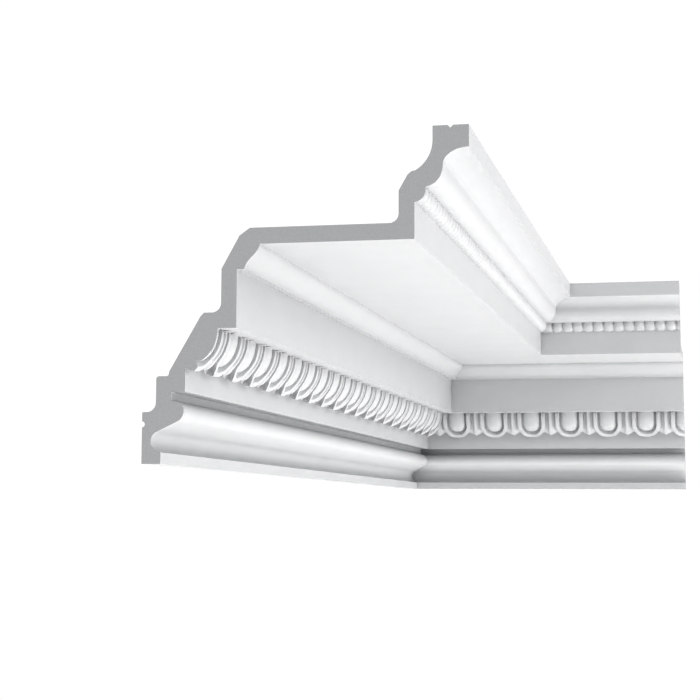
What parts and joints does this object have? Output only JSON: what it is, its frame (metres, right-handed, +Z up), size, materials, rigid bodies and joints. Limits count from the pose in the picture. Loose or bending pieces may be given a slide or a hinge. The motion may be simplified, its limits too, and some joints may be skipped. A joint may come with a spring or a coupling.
{
  "type": "cornice moulding corner",
  "caption": "Inside corner of a ceiling cornice: two mitred lengths with an egg and dart band below the frieze, a bead row and cyma at the top, hollow behind, with flat glue faces.",
  "frame": {"origin": "middle of the bounding box's floor, level with the foot's underside", "axes": "+Z up to the ceiling, +Y along the long length towards the inside corner, +X from the long length's wall into the room"},
  "size_m": [0.428, 1.2302, 0.28],
  "materials": {
    "white_primer": "matt white primer on smooth moulded hard foam"
  },
  "bodies": {
    "root": {"long_length": "white_primer", "short_length": "white_primer"}
  },
  "joints": []
}
